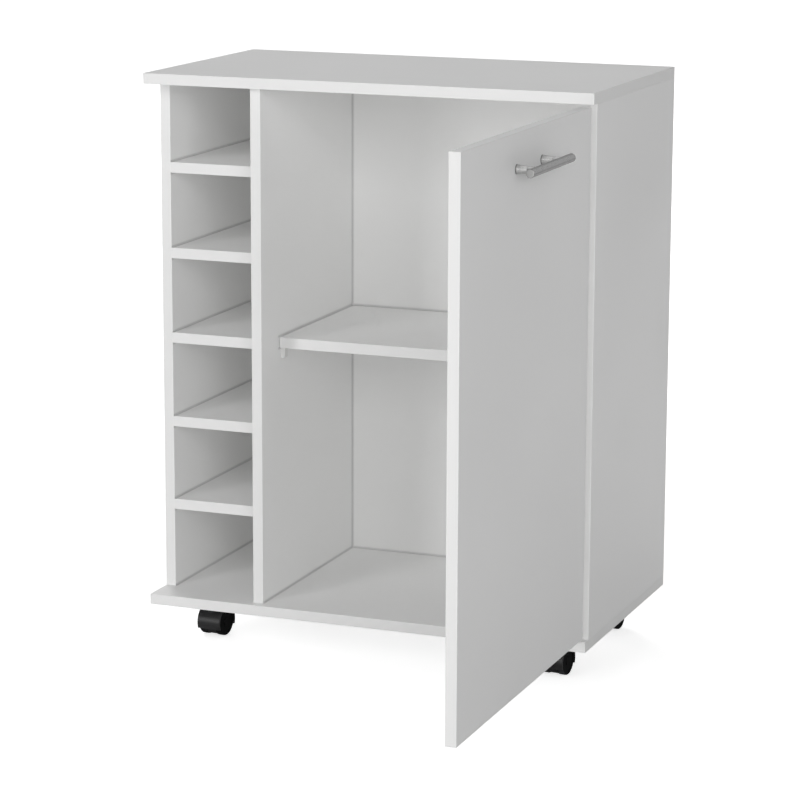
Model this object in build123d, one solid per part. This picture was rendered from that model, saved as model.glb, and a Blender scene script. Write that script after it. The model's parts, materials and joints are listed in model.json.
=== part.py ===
from build123d import *
import os

# A rolling bar cart: a melamine cabinet with bottle cubbies, a cupboard whose door turns on two
# concealed hinges, and four hooded twin-wheel casters. Sizes are in millimetres. The origin is on
# the floor under the centre of the top board, with +X to the right, +Y to the back and +Z up.
# The door stands open at a right angle.

# Boards
board = 15.0
board_edge_round = 0.6
top_width = 646.0
top_depth = 370.0
front_overhang = 14.0
side_height = 722.0
back_thickness = 3.0
back_setback = 22.5
groove_depth = 6.0

# Bottle cubbies and the loose cupboard shelf
bottle_shelf_count = 5
cubby_width = 138.5
cubby_setback = 39.0
end_cubby_extra = 7.6
shelf_rise = 354.0
shelf_setback = 58.0
shelf_side_gap = 2.0
shelf_back_gap = 1.5

# Door and its bar handle
door_end_gap = 3.0
door_edge_reveal = 1.5
door_back_gap = 1.5
door_open_angle = 90.0
handle_drop = 44.4
handle_length = 160.0
handle_diameter = 11.0
handle_reach = 28.0
handle_post_spacing = 96.0
handle_post_diameter = 9.0
handle_foot_diameter = 12.4
handle_foot_height = 14.0
handle_spigot_diameter = 5.0
handle_spigot_length = 3.0
handle_edge_round = 0.8

# Concealed hinges: the pole is the line that the door turns about
hinge_inset = 106.0
pole_from_edge = 4.5
pole_from_face = 1.0
cup_diameter = 35.0
cup_depth = 11.0
cup_wall = 0.8
cup_from_edge = 22.0
cup_rim = 1.5
cup_flange = 0.9
cup_ear_width = 12.0
cup_ear_overlap = 6.0
cup_screw_spacing = 45.0
cup_screw_offset = 9.5
cup_ear_corner = 4.0
cup_lug_thickness = 2.0
cup_lug_length = 6.5
cup_lug_drop = 1.5
cup_lug_gap = 0.3
nose_from_pole_x = 16.0
nose_from_pole_y = 9.5
nose_radius = 3.0
link_pin_diameter = 3.0
link_width = 8.0
link_thickness = 1.5
link_elbow_along = 12.8
link_elbow_out = 3.0
link_end_along = 14.8
link_end_in = 6.5
arm_steel = 1.5
arm_gap = 10.0
arm_height = 11.0
arm_reach = 75.0
arm_web_setback = 10.0
plate_thickness = 2.0
plate_length = 20.0
plate_span = 46.0
plate_setback = 37.0
plate_corner = 5.0
plate_screw_spacing = 32.0
rib_clearance = 0.2
rib_front = 16.0
clamp_screw_setback = 52.0

# Casters
caster_height = 57.0
caster_inset_side = 66.0
caster_inset_end = 65.0
caster_trail = 12.0
caster_turn = -5.0
wheel_radius = 20.0
wheel_width = 11.0
wheel_edge_round = 2.0
wheel_dish_depth = 1.0
wheel_rim = 4.0
wheel_cap_diameter = 14.0
wheel_side_gap = 0.5
hood_gap = 1.5
hood_wall = 2.0
hood_web = 12.5
web_floor_gap = 1.0
hood_edge_round = 1.2
hood_skirt = 8.2
neck_diameter = 12.4
neck_gap = 0.4
kingpin_diameter = 8.0
kingpin_foot = 28.0
kingpin_collar_diameter = 16.0
kingpin_collar = 3.0
axle_diameter = 5.0
axle_reach = 8.0
axle_bead_diameter = 5.8
axle_bead_width = 1.2
axle_bead_setback = 1.0
caster_plate_side = 42.0
caster_plate_thickness = 2.5
caster_plate_corner = 6.0
caster_screw_spacing = 30.0

# Dowels, screws, nails, brackets and shelf pegs
dowel_diameter = 8.0
dowel_seat = 10.0
dowel_tail = 18.0
dowel_setback = 50.0
base_screw_diameter = 6.0
base_screw_length = 50.0
base_screw_head = 10.0
base_screw_head_height = 4.0
base_screw_spacing = 90.0
base_screws_per_upright = 3
wood_screw_diameter = 3.5
wood_screw_length = 13.0
wood_screw_head = 7.0
wood_screw_head_height = 2.0
handle_screw_diameter = 4.0
handle_screw_length = 25.0
screw_head_round = 1.0
drive_share = 0.5
drive_width = 1.0
drive_depth = 1.2
nail_diameter = 1.6
nail_length = 16.0
nail_head = 4.0
nail_head_height = 0.8
nail_count = 5
bracket_leg = 18.0
bracket_wall = 3.0
bracket_width = 20.0
bracket_gusset = 2.0
bracket_screw_place = 11.0
cubby_bracket_setback = 90.0
cupboard_bracket_setback = 125.0
peg_diameter = 5.0
peg_depth = 8.0
peg_drop = 6.5
peg_reach = 6.0
peg_height = 16.0
peg_width = 10.0
peg_corner = 3.0
peg_edge_round = 0.5
peg_setback = 14.0

# Clearances
bore_clearance = 0.1
bore_end_gap = 0.5
groove_clearance = 0.1
press_clearance = 0.02
screw_hole_clearance = 0.5

# Places that follow from the sizes
base_z = caster_height + board
under_top_z = base_z + side_height
left_x = -top_width / 2
right_x = top_width / 2
front_y = -top_depth / 2 + front_overhang
cubby_front_y = front_y + cubby_setback
rear_y = top_depth / 2
back_rear_y = rear_y - back_setback
back_front_y = back_rear_y - back_thickness
middle_y = (front_y + back_front_y) / 2
divider_x = left_x + board + cubby_width
cupboard_left_x = divider_x + board
cupboard_right_x = right_x - board
upright_faces = {
    "left_side_panel": left_x,
    "divider_panel": divider_x,
    "right_side_panel": cupboard_right_x,
}
upright_fronts = {
    "left_side_panel": cubby_front_y,
    "divider_panel": front_y,
    "right_side_panel": front_y,
}
upright_rears = {
    "left_side_panel": rear_y,
    "divider_panel": back_front_y,
    "right_side_panel": rear_y,
}
cubby_spare = 2 * end_cubby_extra + bottle_shelf_count * board
cubby_height = (side_height - cubby_spare) / (bottle_shelf_count + 1)
bottle_shelf_floors = [
    base_z + end_cubby_extra + cubby_height + index * (cubby_height + board)
    for index in range(bottle_shelf_count)
]
shelf_z = base_z + shelf_rise
shelf_front_y = front_y + shelf_setback
shelf_rear_y = back_front_y - shelf_back_gap
X, Y, Z = Vector(1, 0, 0), Vector(0, 1, 0), Vector(0, 0, 1)
low_corner = (Align.MIN, Align.MIN, Align.MIN)
on_end = (Align.CENTER, Align.CENTER, Align.MIN)
parts = {}


def slab(x_range, y_range, z_range):
    """A block between two values on each axis."""
    spans = [high - low for low, high in (x_range, y_range, z_range)]
    return Pos(x_range[0], y_range[0], z_range[0]) * Box(*spans, align=low_corner)


def rod(start, direction, diameter, length):
    """A round bar from a start point along a direction."""
    return Plane(origin=start, z_dir=direction) * Cylinder(diameter / 2, length, align=on_end)


def bore(start, direction, diameter, length, clearance=bore_clearance):
    """The hole for a round bar, wider by the clearance and longer at both ends."""
    foot = Vector(*start) - direction * bore_end_gap
    return rod(foot, direction, diameter + clearance, length + 2 * bore_end_gap)


def cross_drive(start, direction, head):
    """The cross-shaped driver recess in a screw head."""
    seat = Plane(origin=start, z_dir=direction)
    span = head * drive_share
    blade = Box(span, drive_width, drive_depth, align=on_end)
    return [seat * blade, seat * Rot(0, 0, 90) * blade]


def pan_screw(seat, direction, diameter, length, head, head_height):
    """A screw whose flat-backed head bears on the seat point."""
    crown = Vector(*seat) - direction * head_height
    cap = rod(crown, direction, head, head_height)
    cap = fillet(cap.edges().group_by(Axis(seat, direction))[0], screw_head_round)
    return cap + rod(seat, direction, diameter, length) - cross_drive(crown, direction, head)


def wood_screw(seat, direction):
    """One of the small pan-head screws that hold the fittings to the boards."""
    shank = (wood_screw_diameter, wood_screw_length)
    return pan_screw(seat, direction, *shank, wood_screw_head, wood_screw_head_height)


def wood_screw_bore(seat, direction):
    """The hole that a wood screw fills."""
    return bore(seat, direction, wood_screw_diameter, wood_screw_length)


def along(direction, distance):
    """A step along a direction, to add to a point."""
    return direction * distance


# Dowels: three uprights into the top and the base, and both ends of each bottle shelf
dowel_length = dowel_seat + dowel_tail
rear_dowel_y = back_front_y - dowel_setback
upright_dowels = [
    (face + board / 2, y)
    for name, face in upright_faces.items()
    for y in (upright_fronts[name] + dowel_setback, rear_dowel_y)
]
top_dowels = [(x, y, under_top_z - dowel_tail) for x, y in upright_dowels]
base_dowels = [(x, y, base_z - dowel_seat) for x, y in upright_dowels]
shelf_middles = [floor + board / 2 for floor in bottle_shelf_floors]
cubby_left_x = left_x + board
shelf_dowels = [
    (x, y, z)
    for z in shelf_middles
    for y in (cubby_front_y + dowel_setback, rear_dowel_y)
    for x in (cubby_left_x - dowel_seat, divider_x - dowel_tail)
]
upright_bores = [bore(place, Z, dowel_diameter, dowel_length) for place in top_dowels + base_dowels]
shelf_bores = [bore(place, X, dowel_diameter, dowel_length) for place in shelf_dowels]
parts["top_dowels"] = Compound([rod(place, Z, dowel_diameter, dowel_length) for place in top_dowels])
parts["base_dowels"] = Compound([rod(place, Z, dowel_diameter, dowel_length) for place in base_dowels])
shelf_dowel_rods = [rod(place, X, dowel_diameter, dowel_length) for place in shelf_dowels]
parts["bottle_shelf_dowels"] = Compound(shelf_dowel_rods)

# Base screws, driven up through the bottom board with their heads sunk flush
base_screw_first_y = middle_y - base_screw_spacing * (base_screws_per_upright - 1) / 2
base_screw_lines = [
    base_screw_first_y + index * base_screw_spacing for index in range(base_screws_per_upright)
]
base_screw_places = [
    (face + board / 2, y, caster_height) for face in upright_faces.values() for y in base_screw_lines
]
base_screws = []
base_screw_bores = []
for place in base_screw_places:
    seat = Plane(origin=place, z_dir=Z)
    head = seat * Cone(base_screw_head / 2, base_screw_diameter / 2, base_screw_head_height, align=on_end)
    shank = rod(place, Z, base_screw_diameter, base_screw_length)
    base_screws.append(head + shank - cross_drive(place, Z, base_screw_head))
    wide, narrow = base_screw_head + bore_clearance, base_screw_diameter + bore_clearance
    base_screw_bores.append(seat * Cone(wide / 2, narrow / 2, base_screw_head_height, align=on_end))
    base_screw_bores.append(bore(place, Z, base_screw_diameter, base_screw_length))
parts["base_screws"] = Compound(base_screws)

# Nails that hold the back panel to the rear edge of the divider, heads sunk flush
nail_pitch = side_height / nail_count
nail_heights = [base_z + (index + 0.5) * nail_pitch for index in range(nail_count)]
nail_places = [Vector(divider_x + board / 2, back_rear_y, z) for z in nail_heights]
nails = []
nail_bores = []
for place in nail_places:
    nails.append(rod(place, -Y, nail_head, nail_head_height) + rod(place, -Y, nail_diameter, nail_length))
    nail_bores.append(rod(place, -Y, nail_head + bore_clearance, nail_head_height))
    nail_bores.append(bore(place, -Y, nail_diameter, nail_length))
parts["back_panel_nails"] = Compound(nails)

# Corner brackets: moulded angles under the top board, screwed to it and to an upright. The two on
# the divider are set at different depths so that their screws pass each other.
bracket_seats = [
    (cubby_left_x, 1, cubby_bracket_setback),
    (divider_x, -1, cubby_bracket_setback),
    (cupboard_left_x, 1, cupboard_bracket_setback),
    (cupboard_right_x, -1, cupboard_bracket_setback),
]
brackets = []
bracket_screws = []
bracket_bores = []
for face_x, side, setback in bracket_seats:
    y = back_front_y - setback
    outer = face_x + side * bracket_leg
    inner = face_x + side * bracket_wall
    foot_z = under_top_z - bracket_leg
    shelf_bottom_z = under_top_z - bracket_wall
    angle = [(face_x, under_top_z), (outer, under_top_z), (outer, shelf_bottom_z)]
    angle += [(inner, shelf_bottom_z), (inner, foot_z), (face_x, foot_z)]
    web = [(inner, shelf_bottom_z), (outer, shelf_bottom_z), (inner, foot_z)]
    section = Plane(origin=(0, y, 0), x_dir=X, z_dir=-Y)
    bracket = extrude(section * make_face(Polyline(*angle, close=True)), bracket_width / 2, both=True)
    for end in (-1, 1):
        gusset_y = y + end * (bracket_width - bracket_gusset) / 2
        gusset_plane = Plane(origin=(0, gusset_y, 0), x_dir=X, z_dir=-Y)
        gusset_face = gusset_plane * make_face(Polyline(*web, close=True))
        bracket += extrude(gusset_face, bracket_gusset / 2, both=True)
    up_seat = Vector(face_x + side * bracket_screw_place, y, shelf_bottom_z)
    across_seat = Vector(inner, y, under_top_z - bracket_screw_place)
    screw_ways = ((up_seat, Z), (across_seat, X * -side))
    holes = [wood_screw_bore(seat, way) for seat, way in screw_ways]
    brackets.append(bracket - holes)
    bracket_bores += holes
    bracket_screws += [wood_screw(seat, way) for seat, way in screw_ways]
parts["corner_brackets"] = Compound(brackets)
parts["bracket_screws"] = Compound(bracket_screws)

# Shelf pegs: a pin in the upright with a block under the loose shelf, rounded at its lower corner
peg_lines = (shelf_front_y + peg_setback, shelf_rear_y - peg_setback)
pegs = []
peg_bores = []
for face_x, side in ((cupboard_left_x, 1), (cupboard_right_x, -1)):
    for y in peg_lines:
        tip = face_x + side * peg_reach
        half = peg_width / 2
        block = slab(sorted((face_x, tip)), (y - half, y + half), (shelf_z - peg_height, shelf_z))
        low_edges = block.edges().filter_by(Axis.Y).group_by(Axis.Z)[0]
        block = fillet(low_edges.sort_by(Axis.X, reverse=side > 0)[0], peg_corner)
        away = block.faces().sort_by(Axis.X, reverse=side > 0)[0]
        block = fillet(away.edges().filter_by(Axis.Z), peg_edge_round)
        pin_start = (face_x, y, shelf_z - peg_drop)
        pegs.append(block + rod(pin_start, X * -side, peg_diameter, peg_depth))
        peg_bores.append(bore(pin_start, X * -side, peg_diameter, peg_depth))
parts["shelf_pegs"] = Compound(pegs)

# Concealed hinges, drawn with the door closed. Each has a plate and an arm on the right side panel,
# a cup let into the door, and a cranked link that turns on a pin in the arm's nose.
door_right_x = right_x - door_edge_reveal
door_left_x = divider_x + door_edge_reveal
door_bottom_z = base_z + door_end_gap
door_top_z = under_top_z - door_end_gap
door_back_y = front_y - door_back_gap
door_front_y = door_back_y - board
pole_x = door_right_x - pole_from_edge
pole_y = door_front_y + pole_from_face
pole = Axis((pole_x, pole_y, 0), Z)
nose_x = pole_x - nose_from_pole_x
nose_y = pole_y + nose_from_pole_y
cup_x = door_right_x - cup_from_edge
cup_hollow = cup_diameter - bore_clearance - 2 * cup_wall
lug_root_x = cup_x + cup_diameter / 2
lug_inner = link_width / 2 + cup_lug_gap
hinge_heights = {"lower": door_bottom_z + hinge_inset, "upper": door_top_z - hinge_inset}
arm_half = arm_gap / 2 + arm_steel
arm_open_x = nose_x + nose_radius
arm_web_x = arm_open_x - arm_height
arm_rear_y = nose_y + arm_reach
plate_y = front_y + plate_setback
plate_face_x = cupboard_right_x - plate_thickness
plate_screws = []
plate_bores = []
clamp_screws = []
link_pins = []
cup_screws = []
door_bores = []
for name, z in hinge_heights.items():
    screw_seats = [
        (plate_face_x, plate_y, z + end * plate_screw_spacing / 2) for end in (-1, 1)
    ]
    clamp_seat = (arm_web_x, front_y + clamp_screw_setback, z)
    plate_screws += [wood_screw(seat, X) for seat in screw_seats]
    clamp_screws.append(wood_screw(clamp_seat, X))
    holes = [wood_screw_bore(seat, X) for seat in screw_seats]
    plate_bores += holes

    # The mounting plate is a flat wing with a rib that the arm straddles
    wing = slab(
        (plate_face_x, cupboard_right_x),
        (plate_y - plate_length / 2, plate_y + plate_length / 2),
        (z - plate_span / 2, z + plate_span / 2),
    )
    wing = fillet(wing.edges().filter_by(Axis.X), plate_corner)
    rib_half = arm_gap / 2 - rib_clearance
    rib = slab(
        (arm_web_x + arm_steel, cupboard_right_x),
        (front_y + rib_front, arm_rear_y),
        (z - rib_half, z + rib_half),
    )
    parts[f"{name}_hinge_plate"] = wing + rib - holes - wood_screw_bore(clamp_seat, X)

    # The arm is a pressed channel: two cheeks with round noses, and a web between them
    cheek_plane = Plane(origin=(0, 0, z - arm_half))
    cheek_outline = Polyline(
        (nose_x - nose_radius, nose_y),
        (arm_web_x, nose_y + arm_web_setback),
        (arm_web_x, arm_rear_y),
        (arm_open_x, arm_rear_y),
        (arm_open_x, nose_y),
    )
    nose_arc = ThreePointArc(
        (arm_open_x, nose_y), (nose_x, nose_y - nose_radius), (nose_x - nose_radius, nose_y)
    )
    arm = extrude(cheek_plane * make_face(cheek_outline + nose_arc), 2 * arm_half)
    arm -= slab(
        (arm_web_x + arm_steel, arm_open_x),
        (nose_y - nose_radius, arm_rear_y),
        (z - arm_gap / 2, z + arm_gap / 2),
    )
    arm -= slab(
        (arm_web_x, arm_open_x),
        (nose_y - nose_radius, nose_y + arm_web_setback + arm_steel),
        (z - arm_gap / 2, z + arm_gap / 2),
    )
    pin_start = (nose_x, nose_y, z - arm_half)
    pin_hole = bore(pin_start, Z, link_pin_diameter, 2 * arm_half)
    link_pins.append(rod(pin_start, Z, link_pin_diameter, 2 * arm_half))
    parts[f"{name}_hinge_arm"] = arm - pin_hole - wood_screw_bore(clamp_seat, X)

    # The cup is a dish with a flange on the door's back face, two screw ears, and two lugs inside
    # its hinge side that the link's end lies between
    cup_mouth = Vector(cup_x, door_back_y, z)
    ear_x = cup_x - cup_screw_offset
    ear_half = cup_screw_spacing / 2 + cup_ear_overlap
    ears = slab(
        (ear_x - cup_ear_width / 2, ear_x + cup_ear_width / 2),
        (door_back_y, door_back_y + cup_flange),
        (z - ear_half, z + ear_half),
    )
    ears = fillet(ears.edges().filter_by(Axis.Y), cup_ear_corner)
    cup_body = rod(cup_mouth, -Y, cup_diameter - bore_clearance, cup_depth)
    cup = cup_body + rod(cup_mouth, Y, cup_diameter + 2 * cup_rim, cup_flange) + ears
    cup -= rod(cup_mouth + along(Y, cup_flange), -Y, cup_hollow, cup_depth + cup_flange - cup_wall)
    for end in (-1, 1):
        lug_faces = (z + end * lug_inner, z + end * (lug_inner + cup_lug_thickness))
        lug = slab(
            (lug_root_x - cup_lug_length, lug_root_x),
            (door_back_y - cup_depth, door_back_y - cup_lug_drop),
            sorted(lug_faces),
        )
        cup += lug & cup_body
    ear_seats = [
        (ear_x, door_back_y + cup_flange, z + end * cup_screw_spacing / 2) for end in (-1, 1)
    ]
    ear_holes = [wood_screw_bore(seat, -Y) for seat in ear_seats]
    cup_screws += [wood_screw(seat, -Y) for seat in ear_seats]
    parts[f"{name}_hinge_cup"] = cup - ear_holes
    door_bores += ear_holes
    door_bores.append(rod(cup_mouth, -Y, cup_diameter, cup_depth + bore_end_gap))

    # The link runs from the nose pin round the door's edge into the cup, between the cup's lugs.
    # It is drawn with the door open, when the door's length lies along -Y and its depth along +X.
    link_plane = Plane(origin=(nose_x, nose_y, z - link_width / 2))
    elbow = (-link_elbow_out, -link_elbow_along)
    tip = (link_end_in, -link_end_along)
    strip = Polyline((0, 0), elbow, tip)
    link = extrude(link_plane * trace(strip, link_thickness), link_width)
    eye = rod((nose_x, nose_y, z - link_width / 2), Z, 2 * nose_radius, link_width)
    parts[f"{name}_hinge_link"] = link + eye - pin_hole
parts["hinge_plate_screws"] = Compound(plate_screws)
parts["hinge_clamp_screws"] = Compound(clamp_screws)
parts["hinge_link_pins"] = Compound(link_pins)
parts["hinge_cup_screws"] = Compound(cup_screws)

# Handle: a round bar on two posts with flared feet, screwed through the door from its back
handle_x = (door_left_x + door_right_x) / 2
handle_z = door_top_z - handle_drop
bar_y = door_front_y - handle_reach
bar_start = (handle_x - handle_length / 2, bar_y, handle_z)
bar = rod(bar_start, X, handle_diameter, handle_length)
handle_bar = fillet(bar.edges().filter_by(GeomType.CIRCLE), handle_edge_round)
handle_screws = []
for name, end in (("free_side", -1), ("hinge_side", 1)):
    post_x = handle_x + end * handle_post_spacing / 2
    post_root = (post_x, door_front_y, handle_z)
    post = rod(post_root, -Y, handle_post_diameter, handle_reach)
    flare = Cone(handle_foot_diameter / 2, handle_post_diameter / 2, handle_foot_height, align=on_end)
    post += Plane(origin=post_root, z_dir=-Y) * flare
    spigot_length = handle_reach - handle_diameter / 2 + handle_spigot_length
    spigot = rod(post_root, -Y, handle_spigot_diameter, spigot_length)
    handle_bar -= bore(post_root, -Y, handle_spigot_diameter, spigot_length, press_clearance)
    saddle = rod(bar_start, X, handle_diameter + press_clearance, handle_length)
    screw_seat = (post_x, door_back_y, handle_z)
    screw_hole = bore(screw_seat, -Y, handle_screw_diameter, handle_screw_length)
    parts[f"handle_post_{name}"] = post - saddle + spigot - screw_hole
    door_bores.append(bore(screw_seat, -Y, handle_screw_diameter, board, screw_hole_clearance))
    shank = (handle_screw_diameter, handle_screw_length)
    handle_screws.append(pan_screw(screw_seat, -Y, *shank, wood_screw_head, wood_screw_head_height))
parts["handle_bar"] = handle_bar
parts["handle_screws"] = Compound(handle_screws)

# Door slab
door = slab((door_left_x, door_right_x), (door_front_y, door_back_y), (door_bottom_z, door_top_z))
parts["door_panel"] = fillet(door.edges(), board_edge_round) - door_bores

# Everything on the door is turned about the pole to the open position
door_nodes = ["door_panel", "handle_bar", "handle_post_free_side", "handle_post_hinge_side"]
door_nodes += ["handle_screws", "lower_hinge_cup", "upper_hinge_cup", "hinge_cup_screws"]
for name in door_nodes:
    parts[name] = parts[name].rotate(pole, door_open_angle)

# Casters: the plate and the kingpin stay with the base, the hood swivels, and each wheel turns alone
plate_under_z = caster_height - caster_plate_thickness
collar_z = plate_under_z - kingpin_collar
hood_radius = wheel_radius + hood_gap + hood_wall
hood_half = hood_web / 2 + wheel_side_gap + wheel_width + wheel_side_gap
well_depth = hood_half - hood_web / 2
axle_half = hood_web / 2 + wheel_side_gap + axle_reach
bead_from_middle = axle_half - axle_bead_setback - axle_bead_width
web_radius = wheel_radius - web_floor_gap
caster_x = top_width / 2 - caster_inset_side
caster_y = top_depth / 2 - caster_inset_end
caster_places = {
    "front_left": (-caster_x, -caster_y),
    "front_right": (caster_x, -caster_y),
    "back_left": (-caster_x, caster_y),
    "back_right": (caster_x, caster_y),
}
kingpins = []
caster_screws = []
caster_bores = []
for name, (x, y) in caster_places.items():
    axle_point = Vector(x, y + caster_trail, wheel_radius)
    screw_seats = [
        (x + across * caster_screw_spacing / 2, y + ahead * caster_screw_spacing / 2, plate_under_z)
        for across in (-1, 1)
        for ahead in (-1, 1)
    ]
    holes = [wood_screw_bore(seat, Z) for seat in screw_seats]
    caster_screws += [wood_screw(seat, Z) for seat in screw_seats]
    caster_bores += holes
    pin_start = (x, y, kingpin_foot)
    pin_length = caster_height - kingpin_foot
    kingpin = rod(pin_start, Z, kingpin_diameter, pin_length)
    kingpins.append(kingpin + rod((x, y, collar_z), Z, kingpin_collar_diameter, kingpin_collar))
    pin_hole = bore(pin_start, Z, kingpin_diameter, pin_length)

    half = caster_plate_side / 2
    plate = slab((x - half, x + half), (y - half, y + half), (plate_under_z, caster_height))
    plate = fillet(plate.edges().filter_by(Axis.Z), caster_plate_corner)
    parts[f"{name}_caster_plate"] = plate - holes - pin_hole

    # The hood is a drum round the axle, hollowed on both sides of a middle web and cut off below.
    # The web runs on down between the wheels to just above the floor.
    drum = rod(axle_point - along(X, hood_half), X, 2 * hood_radius, 2 * hood_half)
    drum = fillet(drum.edges().filter_by(GeomType.CIRCLE), hood_edge_round)
    for side in (-1, 1):
        well_mouth = axle_point + along(X, side * hood_half)
        drum -= rod(well_mouth, X * -side, 2 * (hood_radius - hood_wall), well_depth)
    neck_top = collar_z - neck_gap
    drum += rod((x, y, wheel_radius), Z, neck_diameter, neck_top - wheel_radius)
    skirt_z = wheel_radius - hood_skirt
    reach = 2 * hood_radius
    drum -= slab((x - reach, x + reach), (y - reach, y + caster_trail + reach), (-reach, skirt_z))
    drum += rod(axle_point - along(X, hood_web / 2), X, 2 * web_radius, hood_web)
    axle_start = axle_point - along(X, axle_half)
    axle_fit = rod(axle_start, X, axle_diameter + press_clearance, 2 * axle_half)
    parts[f"{name}_caster_hood"] = drum - pin_hole - axle_fit

    axle = rod(axle_start, X, axle_diameter, 2 * axle_half)
    for side in (-1, 1):
        bead_start = axle_point + along(X, side * bead_from_middle)
        axle += rod(bead_start, X * side, axle_bead_diameter, axle_bead_width)
    parts[f"{name}_caster_axle"] = axle

    # Each wheel is a closed disc, dished round a plain cap, that snaps over a bead near the axle's end
    for side_name, side in (("left", -1), ("right", 1)):
        outward = X * side
        inner_face = axle_point + along(outward, hood_web / 2 + wheel_side_gap)
        outer_face = inner_face + along(outward, wheel_width)
        wheel = rod(inner_face, outward, 2 * wheel_radius, wheel_width)
        wheel = fillet(wheel.edges().filter_by(GeomType.CIRCLE), wheel_edge_round)
        dish_floor = outer_face - along(outward, wheel_dish_depth)
        wheel -= rod(dish_floor, outward, 2 * (wheel_radius - wheel_rim), wheel_dish_depth)
        wheel += rod(dish_floor, outward, wheel_cap_diameter, wheel_dish_depth)
        bead_start = axle_point + along(outward, bead_from_middle)
        wheel -= bore(inner_face, outward, axle_diameter, axle_reach)
        wheel -= bore(bead_start, outward, axle_bead_diameter, axle_bead_width)
        parts[f"{name}_caster_{side_name}_wheel"] = wheel

    # The hood, with its axle and wheels, stands a little turned about the kingpin
    swivel = Axis((x, y, 0), Z)
    for piece in ("hood", "axle", "left_wheel", "right_wheel"):
        node = f"{name}_caster_{piece}"
        parts[node] = parts[node].rotate(swivel, caster_turn)
parts["caster_kingpins"] = Compound(kingpins)
parts["caster_plate_screws"] = Compound(caster_screws)

# The groove that takes the back panel, cut in the two sides, the top and the base
groove = slab(
    (cubby_left_x - groove_depth, cupboard_right_x + groove_depth),
    (back_front_y - groove_clearance, back_rear_y + groove_clearance),
    (base_z - groove_depth, under_top_z + groove_depth),
)

# Top and bottom boards
for name, low_z in (("top_panel", under_top_z), ("bottom_panel", caster_height)):
    panel = slab((-right_x, right_x), (-rear_y, rear_y), (low_z, low_z + board))
    parts[name] = fillet(panel.edges(), board_edge_round)
parts["top_panel"] -= upright_bores + bracket_bores + [groove]
parts["bottom_panel"] -= upright_bores + base_screw_bores + caster_bores + [groove]

# Uprights: only their front edges are rounded, and every hole that reaches one is cut in it. The
# two sides run past the back panel, and the divider ends at it. The left side starts further back,
# in line with the bottle shelves.
upright_holes = upright_bores + shelf_bores + base_screw_bores + nail_bores
upright_holes += bracket_bores + peg_bores + plate_bores
for name, face_x in upright_faces.items():
    depth_range = (upright_fronts[name], upright_rears[name])
    upright = slab((face_x, face_x + board), depth_range, (base_z, under_top_z))
    front_edges = upright.edges().filter_by(Axis.Z).group_by(Axis.Y)[0]
    parts[name] = fillet(front_edges, board_edge_round) - upright_holes
for name in ("left_side_panel", "right_side_panel"):
    parts[name] -= groove

# Back panel, with its four edges in the groove
tongue = groove_depth - bore_end_gap
back = slab(
    (cubby_left_x - tongue, cupboard_right_x + tongue),
    (back_front_y, back_rear_y),
    (base_z - tongue, under_top_z + tongue),
)
parts["back_panel"] = back - nail_bores

# Bottle shelves, lowest first
for index, floor in enumerate(bottle_shelf_floors):
    shelf = slab((cubby_left_x, divider_x), (cubby_front_y, back_front_y), (floor, floor + board))
    front_edges = shelf.edges().filter_by(Axis.X).group_by(Axis.Y)[0]
    parts[f"bottle_shelf_{index + 1}"] = fillet(front_edges, board_edge_round) - shelf_bores

# Loose cupboard shelf
shelf_x = (cupboard_left_x + shelf_side_gap, cupboard_right_x - shelf_side_gap)
shelf = slab(shelf_x, (shelf_front_y, shelf_rear_y), (shelf_z, shelf_z + board))
parts["cupboard_shelf"] = fillet(shelf.edges(), board_edge_round)

os.makedirs("parts", exist_ok=True)
for name, part in parts.items():
    export_step(part, f"parts/{name}.step")
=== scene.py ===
import json
import math
import bmesh
import bpy
from mathutils import Matrix, Vector


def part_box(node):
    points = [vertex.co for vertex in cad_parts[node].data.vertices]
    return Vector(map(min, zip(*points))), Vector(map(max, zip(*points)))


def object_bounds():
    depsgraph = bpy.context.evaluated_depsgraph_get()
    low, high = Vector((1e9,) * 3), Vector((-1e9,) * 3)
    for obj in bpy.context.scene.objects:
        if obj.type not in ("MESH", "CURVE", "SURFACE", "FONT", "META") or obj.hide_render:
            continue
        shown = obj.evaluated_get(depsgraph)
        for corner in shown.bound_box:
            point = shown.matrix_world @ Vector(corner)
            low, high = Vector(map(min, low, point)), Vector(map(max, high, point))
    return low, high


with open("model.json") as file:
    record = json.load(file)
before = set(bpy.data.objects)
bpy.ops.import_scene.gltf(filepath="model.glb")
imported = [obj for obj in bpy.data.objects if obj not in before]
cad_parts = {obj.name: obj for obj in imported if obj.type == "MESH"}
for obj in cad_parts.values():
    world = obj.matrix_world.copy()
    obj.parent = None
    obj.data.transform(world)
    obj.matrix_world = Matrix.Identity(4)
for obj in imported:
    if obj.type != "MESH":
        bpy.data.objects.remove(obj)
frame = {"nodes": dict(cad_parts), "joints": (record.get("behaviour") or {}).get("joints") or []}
cad_low, cad_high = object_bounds()
nodes = frame["nodes"]

# Carcass boards: the top, the base, two sides, the divider, five bottle shelves and a loose shelf.
# Each is 15 mm chipboard pressed between satin white melamine, with a glued tape round its edges.
# They are dowelled and screwed from inside and below, so no fixing shows on a face.
BOTTLE_SHELVES = [f"bottle_shelf_{step}" for step in range(1, 6)]
BOARD_AXES = {
    "top_panel": "Z",
    "bottom_panel": "Z",
    "left_side_panel": "X",
    "divider_panel": "X",
    "right_side_panel": "X",
    "cupboard_shelf": "Z",
    **dict.fromkeys(BOTTLE_SHELVES, "Z"),
}
AXIS_VECTORS = {"X": Vector((1, 0, 0)), "Z": Vector((0, 0, 1))}
melamine_white = (0.895, 0.895, 0.892, 1.0)
melamine_grain = {"Cloud Scale": 4.0, "Speck Scale": 1300.0}
melamine_relief = 0.00008
speck_height = 0.35
tape_white = (0.85, 0.85, 0.846, 1.0)
tape_thickness = 0.0009
face_depth = 0.0002
tape_depth = 0.0008
seam_half_width = 0.00022
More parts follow.
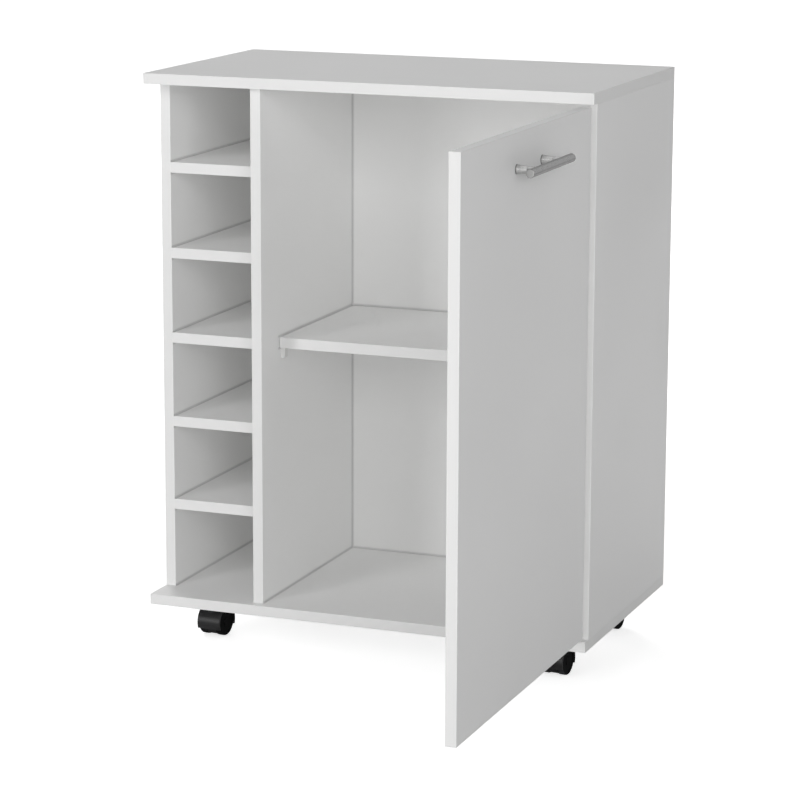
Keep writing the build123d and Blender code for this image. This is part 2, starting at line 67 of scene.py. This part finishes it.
seam_shade = 0.86
# How far the painted shade in the rooms' corners reaches, and how dark it gets
corner_shade_reach = 0.005
corner_shade_darkest = 0.76
room_margin = 0.003
outside_room = -0.0008
inside_room = -0.0002
noise_low = 0.3
noise_high = 0.7


def put(tree, kind, sockets=None, **settings):
    """Adds a shader node, sets its properties, and fills its sockets with values or links."""
    made = tree.nodes.new("ShaderNode" + kind)
    for name, value in settings.items():
        setattr(made, name, value)
    for name, value in (sockets or {}).items():
        if isinstance(value, bpy.types.NodeSocket):
            tree.links.new(value, made.inputs[name])
        else:
            made.inputs[name].default_value = value
    return made


def eased(tree, value, low, high, to_low=0.0, to_high=1.0):
    """A value taken smoothly from one range to another."""
    ranges = {"From Min": low, "From Max": high, "To Min": to_low, "To Max": to_high}
    made = put(tree, "MapRange", {"Value": value, **ranges}, interpolation_type="SMOOTHSTEP")
    return made.outputs["Result"]


def spread(tree, noise, low, high):
    """A noise taken smoothly from its usual values to a range."""
    return eased(tree, noise, noise_low, noise_high, low, high)


def worked(tree, operation, first, second=0.0):
    """One step of arithmetic on two values."""
    return put(tree, "Math", {0: first, 1: second}, operation=operation).outputs[0]


def least(tree, parts):
    """The smallest of three values."""
    return worked(tree, "MINIMUM", worked(tree, "MINIMUM", parts[0], parts[1]), parts[2])


def vector_step(tree, operation, first, second=(0.0, 0.0, 0.0)):
    """One step of arithmetic on two vectors; a length or a dot product comes out as a value."""
    made = put(tree, "VectorMath", {0: first, 1: second}, operation=operation)
    return made.outputs["Value" if operation in ("DOT_PRODUCT", "LENGTH") else "Vector"]


def object_place(tree):
    """The point of the surface, in the frame's own coordinates."""
    return put(tree, "TexCoord").outputs["Object"]


def split(tree, vector):
    """The three parts of a vector."""
    return put(tree, "SeparateXYZ", {0: vector}).outputs


def tinted(tree, factor, first, second, blend="MIX"):
    """Two colours mixed by a factor."""
    made = put(tree, "Mix", {0: factor, 6: first, 7: second}, data_type="RGBA", blend_type=blend)
    return made.outputs[2]


def shaded(tree, colour, shade):
    """A colour darkened by a shade."""
    grey = put(tree, "CombineColor", {0: shade, 1: shade, 2: shade}).outputs[0]
    return tinted(tree, 1.0, colour, grey, "MULTIPLY")


def relief(tree, height, strength, distance):
    """The normals of a fine relief, whose depth is in metres."""
    return put(tree, "Bump", {"Strength": strength, "Distance": distance, "Height": height}).outputs[0]


def start_group(name, inputs, outputs):
    """A shader node group with named sockets; gives its tree, its inputs and its outputs."""
    tree = bpy.data.node_groups.new(name, "ShaderNodeTree")
    for socket, kind in inputs.items():
        tree.interface.new_socket(socket, in_out="INPUT", socket_type="NodeSocket" + kind)
    for socket, kind in outputs.items():
        tree.interface.new_socket(socket, in_out="OUTPUT", socket_type="NodeSocket" + kind)
    return tree, tree.nodes.new("NodeGroupInput").outputs, tree.nodes.new("NodeGroupOutput").inputs


def use_group(tree, group, sockets):
    """Places a node group in a material with its own values."""
    made = tree.nodes.new("ShaderNodeGroup")
    made.node_tree = group
    for name, value in sockets.items():
        made.inputs[name].default_value = value
    return made.outputs


def socket_name(word):
    """The name of a Principled socket, from a plain word such as base_color."""
    return word.replace("_", " ").title().replace("Ior", "IOR")


def start_material(name, **surface):
    """A material whose Principled surface has its constant values set on its own sockets."""
    made = bpy.data.materials.new(name)
    made.use_nodes = True
    shader = made.node_tree.nodes["Principled BSDF"]
    for word, value in surface.items():
        shader.inputs[socket_name(word)].default_value = value
    return made, made.node_tree, shader


def feed(tree, shader, **sources):
    """Links a colour, a roughness or normals to a Principled surface."""
    for word, source in sources.items():
        tree.links.new(source, shader.inputs[socket_name(word)])


def wear(name, material):
    """Gives a CAD piece its finish."""
    for slot in nodes[name].material_slots:
        slot.material = material


# Fine unevenness that every moulded, pressed or plated surface has: slow clouds and small specks
mottle, mottle_in, mottle_out = start_group(
    "mottle",
    {"Cloud Scale": "Float", "Speck Scale": "Float"},
    {"Cloud": "Float", "Speck": "Float"},
)
place = object_place(mottle)
cloud = put(mottle, "TexNoise", {"Vector": place, "Scale": mottle_in["Cloud Scale"], "Detail": 3.0})
speck = put(mottle, "TexNoise", {"Vector": place, "Scale": mottle_in["Speck Scale"], "Detail": 2.0})
mottle.links.new(cloud.outputs[0], mottle_out["Cloud"])
mottle.links.new(speck.outputs[0], mottle_out["Speck"])

# Where a board's edge tape lies, and the fine joint line that it leaves on the two wide faces
taping, taping_in, taping_out = start_group(
    "taping",
    {"Low": "Vector", "High": "Vector", "Across": "Vector"},
    {"Tape": "Float", "Seam": "Float"},
)
place = object_place(taping)
from_low = vector_step(taping, "SUBTRACT", place, taping_in["Low"])
from_high = vector_step(taping, "SUBTRACT", taping_in["High"], place)
inside = vector_step(taping, "MINIMUM", from_low, from_high)
depth = vector_step(taping, "DOT_PRODUCT", inside, taping_in["Across"])
nearest = least(taping, split(taping, vector_step(taping, "ADD", inside, taping_in["Across"])))
tape = eased(taping, depth, face_depth, tape_depth)
line = worked(taping, "ABSOLUTE", worked(taping, "SUBTRACT", nearest, tape_thickness))
seam = eased(taping, line, seam_half_width, 0.0)
seam = worked(taping, "MULTIPLY", seam, worked(taping, "SUBTRACT", 1.0, tape))
taping.links.new(tape, taping_out["Tape"])
taping.links.new(seam, taping_out["Seam"])

# The rooms that the boards enclose, as two opposite corners each: six cubbies, the cupboard above
# and below its shelf, and the whole cupboard in front of the shelf
cubby_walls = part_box("left_side_panel")[1].x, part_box("divider_panel")[0].x
cupboard_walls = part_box("divider_panel")[1].x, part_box("right_side_panel")[0].x
ROOM_FLOORS = (
    (cubby_walls, ["bottom_panel", *BOTTLE_SHELVES, "top_panel"]),
    (cupboard_walls, ["bottom_panel", "cupboard_shelf", "top_panel"]),
    (cupboard_walls, ["bottom_panel", "top_panel"]),
)
rooms = []
for (left_wall, right_wall), floors in ROOM_FLOORS:
    for below, above in zip(floors, floors[1:]):
        front = max(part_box(name)[0].y for name in (below, above, "divider_panel"))
        room_low = Vector((left_wall, front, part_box(below)[1].z))
        room_high = Vector((right_wall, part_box("back_panel")[0].y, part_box(above)[0].z))
        rooms.append((room_low, room_high))

# Painted shade, standing in for the shadow in a room's corners: the last few millimetres before two
# faces of a room meet are darkened. A room's front is open, so it counts as a wall that is a metre away.
painted_corner_shade, corner_shade_in, corner_shade_out = start_group(
    "painted_corner_shade",
    {"Low": "Vector", "High": "Vector", "Reach": "Float"},
    {"Corner Shade": "Float"},
)
place = object_place(painted_corner_shade)
from_low = vector_step(painted_corner_shade, "SUBTRACT", place, corner_shade_in["Low"])
from_high = vector_step(painted_corner_shade, "SUBTRACT", corner_shade_in["High"], place)
open_front = vector_step(painted_corner_shade, "ADD", from_low, (0.0, 1.0, 0.0))
lowest = least(painted_corner_shade, split(painted_corner_shade, vector_step(painted_corner_shade, "MINIMUM", from_low, from_high)))
walls = split(painted_corner_shade, vector_step(painted_corner_shade, "MINIMUM", open_front, from_high))
smaller = worked(painted_corner_shade, "MINIMUM", walls[0], walls[1])
larger = worked(painted_corner_shade, "MAXIMUM", walls[0], walls[1])
second = worked(painted_corner_shade, "MAXIMUM", smaller, worked(painted_corner_shade, "MINIMUM", larger, walls[2]))
within = eased(painted_corner_shade, lowest, outside_room, inside_room)
near = eased(painted_corner_shade, worked(painted_corner_shade, "DIVIDE", second, corner_shade_in["Reach"]), 1.0, 0.0)
painted_corner_shade.links.new(worked(painted_corner_shade, "MULTIPLY", within, near), corner_shade_out["Corner Shade"])


def corner_shaded(tree, shade, low, high):
    """A board's shade with painted shade in the corners of each room beside it."""
    tread_dust_and_corner_shade = 0.0
    for room_low, room_high in rooms:
        reaches_up = all(room_low[k] < high[k] + room_margin for k in range(3))
        reaches_down = all(low[k] - room_margin < room_high[k] for k in range(3))
        if reaches_up and reaches_down:
            corners = {"Low": room_low, "High": room_high, "Reach": corner_shade_reach}
            tread_dust_and_corner_shade = worked(tree, "MAXIMUM", tread_dust_and_corner_shade, use_group(tree, painted_corner_shade, corners)["Corner Shade"])
    return worked(tree, "MULTIPLY", shade, eased(tree, tread_dust_and_corner_shade, 0.0, 1.0, 1.0, corner_shade_darkest))


def melamine(name, axis, in_carcass):
    """Satin white melamine for one board, with its taped edges and, in the carcass, painted corner
    shade.
    """
    low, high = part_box(name)
    made, tree, shader = start_material(name + "_melamine", specular_ior_level=0.35)
    edge = use_group(tree, taping, {"Low": low, "High": high, "Across": AXIS_VECTORS[axis]})
    grain = use_group(tree, mottle, melamine_grain)
    shade = spread(tree, grain["Cloud"], 0.985, 1.0)
    shade = worked(tree, "MULTIPLY", shade, spread(tree, grain["Speck"], 0.99, 1.0))
    shade = worked(tree, "MULTIPLY", shade, eased(tree, edge["Seam"], 0.0, 1.0, 1.0, seam_shade))
    # Painted shade in the corners where the board meets the other faces of a room
    if in_carcass:
        shade = corner_shaded(tree, shade, low, high)
    colour = tinted(tree, edge["Tape"], melamine_white, tape_white)
    height = worked(tree, "MULTIPLY", grain["Speck"], speck_height)
    height = worked(tree, "SUBTRACT", height, edge["Seam"])
    feed(
        tree,
        shader,
        base_color=shaded(tree, colour, shade),
        roughness=spread(tree, grain["Cloud"], 0.5, 0.6),
        normal=relief(tree, height, 0.35, melamine_relief),
    )
    return made


for name, axis in BOARD_AXES.items():
    wear(name, melamine(name, axis, True))

# Back panel: one sheet of 3 mm hardboard that slides in a groove of the sides, the top and the base
# and is nailed to the divider. Its inner face is painted white, and its outer face is raw brown
# fibre with the mark of the press screen.
back_low, back_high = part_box("back_panel")
back_white = (0.86, 0.86, 0.856, 1.0)
paint_depth = 0.001
raw_depth = 0.002
fibre_dark = (0.20, 0.115, 0.060, 1.0)
fibre_light = (0.42, 0.275, 0.165, 1.0)
fibre_stain = (0.30, 0.18, 0.10, 1.0)
fibre_look = {"Scale": 160.0, "Detail": 6.0, "Roughness": 0.7, "Distortion": 2.5}
screen_pitch = 0.0018
hardboard_relief = 0.0001
hardboard, tree, shader = start_material("back_panel_hardboard")
place = object_place(tree)
parts = split(tree, place)
rear = eased(tree, parts[1], back_low.y + paint_depth, back_low.y + raw_depth)
grain = use_group(tree, mottle, {"Cloud Scale": 9.0, "Speck Scale": 700.0})
fibre = put(tree, "TexNoise", {"Vector": place, **fibre_look})
brown = tinted(tree, fibre.outputs[0], fibre_dark, fibre_light)
brown = tinted(tree, eased(tree, grain["Cloud"], 0.35, 0.65, 0.0, 0.35), brown, fibre_stain)
# Painted shade in the corners where the white face meets the boards
shade = corner_shaded(tree, spread(tree, grain["Cloud"], 0.983, 1.0), back_low, back_high)
warp = worked(tree, "SINE", worked(tree, "MULTIPLY", parts[0], 2 * math.pi / screen_pitch))
weft = worked(tree, "SINE", worked(tree, "MULTIPLY", parts[2], 2 * math.pi / screen_pitch))
screen_mark = worked(tree, "MULTIPLY", worked(tree, "MULTIPLY", warp, weft), rear)
height = worked(tree, "ADD", worked(tree, "MULTIPLY", screen_mark, 0.5), grain["Speck"])
feed(
    tree,
    shader,
    base_color=tinted(tree, rear, shaded(tree, back_white, shade), brown),
    roughness=eased(tree, rear, 0.0, 1.0, 0.48, 0.82),
    normal=relief(tree, height, 0.4, hardboard_relief),
)
wear("back_panel", hardboard)

# Dowels: turned and fluted beech pegs, glued blind into the boards at every joint.
# They are hidden once the cart is put together.
beech_dark = (0.62, 0.42, 0.25, 1.0)
beech_light = (0.76, 0.58, 0.39, 1.0)
beech_grain = {"Scale": 900.0, "Detail": 5.0, "Roughness": 0.6}
beech_relief = 0.0001
grain_stretch = 0.93
for name, axis in (("top_dowels", "Z"), ("base_dowels", "Z"), ("bottle_shelf_dowels", "X")):
    beech, tree, shader = start_material(name + "_beech", roughness=0.62)
    stretch = Vector((1, 1, 1)) - grain_stretch * AXIS_VECTORS[axis]
    along = put(tree, "Mapping", {"Vector": object_place(tree), "Scale": stretch}).outputs[0]
    grain = put(tree, "TexNoise", {"Vector": along, **beech_grain}).outputs[0]
    feed(
        tree,
        shader,
        base_color=tinted(tree, spread(tree, grain, 0.0, 1.0), beech_dark, beech_light),
        normal=relief(tree, grain, 0.3, beech_relief),
    )
    wear(name, beech)

# Screws and nails: zinc-plated steel with cross recesses, driven in from below, inside and behind.
# The plating is bright, with faint clouds of its blue passivation.
plate_relief = 0.00003
zinc_blue = (0.50, 0.52, 0.55, 1.0)
zinc_bright = (0.64, 0.65, 0.66, 1.0)
SCREW_NODES = (
    "base_screws",
    "bracket_screws",
    "hinge_plate_screws",
    "hinge_cup_screws",
    "hinge_clamp_screws",
    "handle_screws",
    "caster_plate_screws",
    "back_panel_nails",
)


def plated(name, dark, light, smooth, rough):
    """Bright plated steel between two tones."""
    made, tree, shader = start_material(name, metallic=1.0)
    grain = use_group(tree, mottle, {"Cloud Scale": 180.0, "Speck Scale": 2600.0})
    feed(
        tree,
        shader,
        base_color=tinted(tree, spread(tree, grain["Cloud"], 0.0, 1.0), dark, light),
        roughness=eased(tree, grain["Speck"], 0.25, 0.75, smooth, rough),
        normal=relief(tree, grain["Speck"], 0.15, plate_relief),
    )
    return made


zinc = plated("zinc_plate", zinc_blue, zinc_bright, 0.26, 0.42)
for name in SCREW_NODES:
    wear(name, zinc)

# Corner brackets and shelf pegs: small white plastic mouldings, satin with a faint mould grain.
# The brackets are screwed under the top board, and the pegs are pushed into holes under the shelf.
moulding_dull = (0.77, 0.77, 0.76, 1.0)
moulding_white = (0.81, 0.81, 0.80, 1.0)
moulding_relief = 0.00006
moulding, tree, shader = start_material("white_moulding")
grain = use_group(tree, mottle, {"Cloud Scale": 60.0, "Speck Scale": 1800.0})
feed(
    tree,
    shader,
    base_color=tinted(tree, grain["Cloud"], moulding_dull, moulding_white),
    roughness=spread(tree, grain["Speck"], 0.32, 0.44),
    normal=relief(tree, grain["Speck"], 0.2, moulding_relief),
)
for name in ("corner_brackets", "shelf_pegs"):
    wear(name, moulding)

# Concealed hinges: pressed steel, nickel plated. The plate and arm are screwed inside the right
# side, the cup is let into the door, and the cranked link turns on a pin in the arm's nose.
nickel_dull = (0.58, 0.57, 0.55, 1.0)
nickel_bright = (0.70, 0.69, 0.67, 1.0)
nickel = plated("nickel_plate", nickel_dull, nickel_bright, 0.2, 0.32)
for hinge in ("lower", "upper"):
    for piece in ("plate", "arm", "cup", "link"):
        wear(f"{hinge}_hinge_{piece}", nickel)
wear("hinge_link_pins", nickel)

# Door: one more chipboard slab with melamine faces and taped edges, like the carcass boards.
# It hangs on the two hinge cups let into its inner face, and stands open at a right angle.
wear("door_panel", melamine("door_panel", "X", False))

# Bar handle: a solid steel bar on two turned posts, each held by a screw through the door.
# The bar is brushed along its length, with a painted highlight along its outer face and painted shade
# on its underside. Its ends and the posts are turned, and painted in a lighter copy of the bar's steel
# that stands in for the brighter light they reflect; each post has painted shade round its foot against
# the door.
bar_low, bar_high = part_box("handle_bar")
bar_axis = (bar_low + bar_high) / 2
bar_radius = (bar_high.x - bar_low.x) / 2
bar_half = (bar_high.y - bar_low.y) / 2
end_from = 0.0002
end_to = 0.00005
# Directions across the bar of its painted highlight and of its painted underside shade
highlight_angle = math.radians(30.7)
outward = Vector((math.cos(highlight_angle), 0.0, math.sin(highlight_angle))) / bar_radius
downward = Vector((math.sin(highlight_angle), 0.0, -math.cos(highlight_angle))) / bar_radius
dull_steel = (0.088, 0.088, 0.088, 1.0), (0.118, 0.118, 0.117, 1.0)
# The steel of the painted highlight, and of the painted shade on the underside
highlight_steel = (0.18, 0.18, 0.18, 1.0), (0.235, 0.235, 0.233, 1.0)
underside_shade_steel = (0.036, 0.036, 0.036, 1.0)
# The bar's ends and the posts are painted in a lighter copy of the bar's steel, standing in for the
# brighter light they reflect
lit_end_steel = (0.45, 0.45, 0.446, 1.0)
lit_post_steel = (0.40, 0.40, 0.397, 1.0), (0.56, 0.56, 0.556, 1.0)
# Painted shade round each post's foot, where it meets the door
foot_shade_steel = (0.12, 0.12, 0.12, 1.0)
foot_from = 0.0004
foot_to = 0.0016
brush_stretch = (1.0, 0.012, 1.0)
brush_grain = {"Scale": 5200.0, "Detail": 3.0, "Roughness": 0.6}
lathe_stretch = (1.0, 0.05, 0.05)
lathe_grain = {"Scale": 4200.0, "Detail": 2.0}
steel_relief = 0.00003
steel, tree, shader = start_material("brushed_steel", metallic=1.0)
place = object_place(tree)
strokes = put(tree, "Mapping", {"Vector": place, "Scale": brush_stretch}).outputs[0]
brush = put(tree, "TexNoise", {"Vector": strokes, **brush_grain}).outputs[0]
brush = eased(tree, brush, 0.25, 0.75)
spoke = vector_step(tree, "SUBTRACT", place, bar_axis)
# Painted highlight along the bar's outer face, and painted shade on its underside
painted_highlight = eased(tree, vector_step(tree, "DOT_PRODUCT", spoke, outward), 0.8, 0.99)
below = eased(tree, vector_step(tree, "DOT_PRODUCT", spoke, downward), 0.2, 0.75)
# The bar's ends get the lighter-painted steel
turned = worked(tree, "ABSOLUTE", split(tree, spoke)[1])
turned = eased(tree, turned, bar_half - end_from, bar_half - end_to)
dull = tinted(tree, below, tinted(tree, brush, *dull_steel), underside_shade_steel)
barrel = tinted(tree, painted_highlight, dull, tinted(tree, brush, *highlight_steel))
feed(
    tree,
    shader,
    base_color=tinted(tree, turned, barrel, lit_end_steel),
    roughness=eased(tree, brush, 0.0, 1.0, 0.26, 0.4),
    normal=relief(tree, brush, 0.25, steel_relief),
)
wear("handle_bar", steel)
post_foot_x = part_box("handle_post_free_side")[0].x
# The posts' lighter steel is a painted stand-in for the brighter light they reflect
bright, tree, shader = start_material("turned_steel_painted_lighter", metallic=1.0)
place = object_place(tree)
rings = put(tree, "Mapping", {"Vector": place, "Scale": lathe_stretch}).outputs[0]
lathe = put(tree, "TexNoise", {"Vector": rings, **lathe_grain}).outputs[0]
# Painted shade round the post's foot against the door
foot = eased(tree, split(tree, place)[0], post_foot_x + foot_from, post_foot_x + foot_to)
feed(
    tree,
    shader,
    base_color=tinted(tree, foot, foot_shade_steel, tinted(tree, lathe, *lit_post_steel)),
    roughness=eased(tree, lathe, 0.25, 0.75, 0.2, 0.3),
    normal=relief(tree, lathe, 0.2, steel_relief),
)
for name in ("handle_post_free_side", "handle_post_hinge_side"):
    wear(name, bright)

# Casters: a steel plate and kingpin under each corner of the base, a moulded black nylon hood that
# swivels on the pin, and two nylon wheels on one steel axle. The hood's web is scuffed near the
# floor, and the treads are dusty.
hood_black = (0.007, 0.007, 0.0073, 1.0), (0.012, 0.012, 0.0124, 1.0)
hood_relief = 0.00005
scuff_top = 0.0125
scuff_full = 0.011
scuff_roughness = 0.5
wheel_black = (0.006, 0.006, 0.0063, 1.0), (0.011, 0.011, 0.0115, 1.0)
wheel_relief = 0.00008
tread_dust = (0.075, 0.076, 0.08, 1.0)
tread_depth = 0.0018
tread_cover = 0.6
nylon, tree, shader = start_material("black_nylon", specular_ior_level=0.42)
grain = use_group(tree, mottle, {"Cloud Scale": 70.0, "Speck Scale": 2200.0})
scuffed = eased(tree, split(tree, object_place(tree))[2], scuff_top, scuff_full, 0.0, scuff_roughness)
feed(
    tree,
    shader,
    base_color=tinted(tree, grain["Cloud"], *hood_black),
    roughness=worked(tree, "ADD", spread(tree, grain["Speck"], 0.27, 0.33), scuffed),
    normal=relief(tree, grain["Speck"], 0.2, hood_relief),
)
wear("caster_kingpins", zinc)
for corner in ("front_left", "front_right", "back_left", "back_right"):
    wear(f"{corner}_caster_plate", zinc)
    wear(f"{corner}_caster_axle", zinc)
    wear(f"{corner}_caster_hood", nylon)
    spin = next(joint for joint in frame["joints"] if joint["name"] == f"{corner}_left_wheel_spin")
    axle_place = Vector(spin["pos_m"])
    wheel_radius = axle_place.z
    wheel_nylon, tree, shader = start_material(f"{corner}_wheel_nylon", specular_ior_level=0.03)
    grain = use_group(tree, mottle, {"Cloud Scale": 90.0, "Speck Scale": 1500.0})
    spoke = vector_step(tree, "SUBTRACT", object_place(tree), axle_place)
    across = vector_step(tree, "CROSS_PRODUCT", spoke, Vector(spin["axis"]))
    reach = vector_step(tree, "LENGTH", across)
    tread = eased(tree, reach, wheel_radius - tread_depth, wheel_radius, 0.0, tread_cover)
    tread_dust_and_corner_shade = worked(tree, "MULTIPLY", tread, eased(tree, grain["Cloud"], 0.35, 0.7))
    feed(
        tree,
        shader,
        base_color=tinted(tree, tread_dust_and_corner_shade, tinted(tree, grain["Cloud"], *wheel_black), tread_dust),
        roughness=spread(tree, grain["Speck"], 0.6, 0.75),
        normal=relief(tree, grain["Speck"], 0.25, wheel_relief),
    )
    for side in ("left", "right"):
        wear(f"{corner}_caster_{side}_wheel", wheel_nylon)

# Floor: a wide sheet of white studio paper, rolled out flat under the cart. It stays white to the
# camera up to the horizon and keeps the cart's soft shadow; to the other surfaces it is plain paper.
floor_half = 12.0
paper_lit = (0.85, 0.85, 0.85, 1.0)
paper_plain = (0.75, 0.75, 0.75, 1.0)
pure_white = (1.0, 1.0, 1.0, 1.0)
near_reach = 0.45
far_reach = 1.6
near_glow = 0.66
far_glow = 0.94
mirror_reach = 0.75


def seen_itself(tree, rays):
    """A mask of the rays that show a thing itself."""
    seen = worked(tree, "MAXIMUM", rays["Is Camera Ray"], rays["Is Glossy Ray"])
    return worked(tree, "MAXIMUM", seen, rays["Is Transmission Ray"])


floor_mesh = bpy.data.meshes.new("studio_floor")
floor_shape = bmesh.new()
bmesh.ops.create_grid(floor_shape, x_segments=1, y_segments=1, size=floor_half)
floor_shape.to_mesh(floor_mesh)
floor_shape.free()
floor = bpy.data.objects.new("studio_floor", floor_mesh)
bpy.context.scene.collection.objects.link(floor)
floor_paint = bpy.data.materials.new("studio_floor_paint")
floor_paint.use_nodes = True
tree = floor_paint.node_tree
tree.nodes.remove(tree.nodes["Principled BSDF"])
rays = put(tree, "LightPath").outputs
from_cart = vector_step(tree, "LENGTH", object_place(tree))
under_cart = eased(tree, from_cart, mirror_reach, near_reach, 0.0, near_glow)
under_cart = worked(tree, "MULTIPLY", rays["Is Glossy Ray"], under_cart)
strength = eased(tree, from_cart, near_reach, far_reach, near_glow, far_glow)
strength = worked(tree, "SUBTRACT", strength, under_cart)
lit = put(tree, "BsdfDiffuse", {"Color": paper_lit}).outputs[0]
glow = put(tree, "Emission", {"Color": pure_white, "Strength": strength}).outputs[0]
glowing = put(tree, "AddShader", {0: lit, 1: glow}).outputs[0]
plain = put(tree, "BsdfDiffuse", {"Color": paper_plain}).outputs[0]
paint = put(tree, "MixShader", {0: seen_itself(tree, rays), 1: plain, 2: glowing}).outputs[0]
tree.links.new(paint, tree.nodes["Material Output"].inputs["Surface"])
floor_mesh.materials.append(floor_paint)

# Light: an even white room with five soft lamps: a broad one beside the camera, one to the right for
# the cupboard, one on the left for the cubbies, a strip far left that draws the highlight on the
# caster hoods, and one behind. The broad one and the strip are mirrored in the satin surfaces.
room_strength = 0.213
world = bpy.data.worlds.new("studio")
bpy.context.scene.world = world
world.use_nodes = True
tree = world.node_tree
seen = seen_itself(tree, put(tree, "LightPath").outputs)
room = tree.nodes["Background"]
room.inputs["Color"].default_value = pure_white
room.inputs["Strength"].default_value = room_strength
backdrop = put(tree, "Background", {"Color": pure_white, "Strength": 1.0})
sky = put(tree, "MixShader", {0: seen, 1: room.outputs[0], 2: backdrop.outputs[0]}).outputs[0]
tree.links.new(sky, tree.nodes["World Output"].inputs["Surface"])
centre = (cad_low + cad_high) / 2
# Each lamp's place, width, height and power, and whether satin surfaces mirror it
LAMPS = {
    "front_lamp": (Vector((2.655, -7.494, 2.355)), 4.0, 4.0, 160.0, True),
    "right_lamp": (Vector((5.489, -5.689, 2.355)), 3.0, 3.0, 109.0, False),
    "left_lamp": (Vector((-1.94, -4.26, 1.90)), 1.0, 3.4, 54.5, False),
    "strip_lamp": (Vector((-4.64, -7.71, 1.3)), 1.2, 2.5, 37.0, True),
    "rear_lamp": (Vector((-4.6, 5.0, 2.6)), 3.0, 3.0, 300.0, False),
}
for name, (spot, width, height, power, mirrored) in LAMPS.items():
    lamp = bpy.data.lights.new(name, "AREA")
    lamp.shape = "RECTANGLE"
    lamp.size = width
    lamp.size_y = height
    lamp.energy = power
    holder = bpy.data.objects.new(name, lamp)
    holder.location = spot
    holder.visible_glossy = mirrored
    holder.rotation_mode = "QUATERNION"
    holder.rotation_quaternion = (centre - spot).to_track_quat("-Z", "Y")
    bpy.context.scene.collection.objects.link(holder)

# Camera: a long lens to the right of the front and a little above the top board, placed by the
# board edges so that every edge falls where it does in the photo.
camera_place = Vector((1.5052, -3.9198, 1.2396))
azimuth = math.radians(21.215)
elevation = math.radians(12.069)
roll = math.radians(0.202)
camera_data = bpy.data.cameras.new("camera")
camera_data.sensor_width = 36.0
camera_data.lens = 136.514
camera = bpy.data.objects.new("camera", camera_data)
stand = Matrix.Translation(camera_place) @ Matrix.Rotation(azimuth, 4, "Z")
tilt = Matrix.Rotation(math.pi / 2 - elevation, 4, "X") @ Matrix.Rotation(roll, 4, "Z")
camera.matrix_world = stand @ tilt
bpy.context.scene.collection.objects.link(camera)
bpy.context.scene.camera = camera
bpy.context.scene.view_settings.view_transform = "Standard"
bpy.context.scene.cycles.max_bounces = 24
bpy.context.scene.cycles.diffuse_bounces = 16
